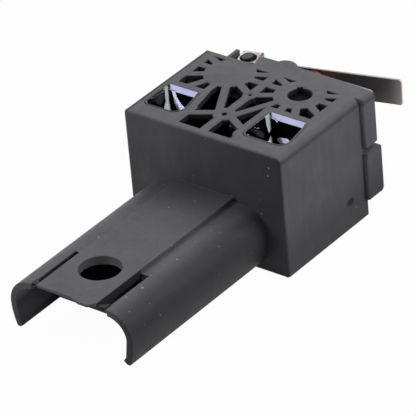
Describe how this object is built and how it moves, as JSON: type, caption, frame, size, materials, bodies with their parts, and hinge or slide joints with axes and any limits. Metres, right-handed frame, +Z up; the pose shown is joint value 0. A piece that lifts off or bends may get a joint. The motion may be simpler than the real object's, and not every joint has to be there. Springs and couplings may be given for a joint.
{
  "type": "micro switch",
  "caption": "Snap-action switch in a moulded housing with a latticed top, two cups, a long clip-in arm and a sprung steel lever.",
  "frame": {"origin": "middle of the housing's foot, on the surface it stands on", "axes": "+X to the right, +Y from the arm to the lever, +Z up"},
  "size_m": [0.0416, 0.0894, 0.0284],
  "materials": {
    "housing_plastic": "matt",
    "cover_plastic": "matt",
    "cup_plastic": "polished",
    "case_plastic": "satin",
    "lid_plastic": "satin",
    "plunger_plastic": "satin",
    "lever_steel": "brushed",
    "screw_steel": "satin",
    "terminal_brass": "satin",
    "blade_copper": "satin",
    "contact_silver": "satin",
    "spring_steel": "satin"
  },
  "bodies": {
    "body": {"base_plate": "housing_plastic", "base_screw_1": "screw_steel", "base_screw_2": "screw_steel", "base_screw_3": "screw_steel", "base_screw_4": "screw_steel", "common_terminal": "terminal_brass", "cover_screw_1": "screw_steel", "cover_screw_2": "screw_steel", "housing": "housing_plastic", "left_pocket": "cup_plastic", "normally_closed_contact": "contact_silver", "normally_closed_terminal": "terminal_brass", "normally_open_contact": "contact_silver", "normally_open_terminal": "terminal_brass", "rear_cover": "cover_plastic", "right_pocket": "cup_plastic", "snap_spring": "spring_steel", "switch_case": "case_plastic", "switch_lid": "lid_plastic"},
    "lever": {"lever": "lever_steel"},
    "plunger": {"plunger": "plunger_plastic"},
    "blade": {"moving_blade": "blade_copper", "moving_contact": "contact_silver"}
  },
  "joints": [
    {"name": "lever_hinge", "type": "hinge", "parent": "body", "child": "lever", "pos_m": [-0.011, 0.017, 0.02185], "axis": [0, 0, 1], "range_deg": [-6, 0], "stiffness_Nm_per_rad": 0.05, "springref_deg": 11.46},
    {"name": "plunger_slide", "type": "slide", "parent": "body", "child": "plunger", "axis": [0, 1, 0], "range_m": [-0.0017, 0]},
    {"name": "blade_swing", "type": "hinge", "parent": "body", "child": "blade", "pos_m": [-0.0105, 0.0118, 0.022], "axis": [0, 0, 1], "range_deg": [-6.6, 0], "deforming": ["snap_spring"]}
  ],
  "couplings": [
    {"joint": "plunger_slide", "follows": "lever_hinge", "m_per_rad": 0.014192},
    {"joint": "blade_swing", "follows": "lever_hinge", "ratio": 1.0707}
  ]
}
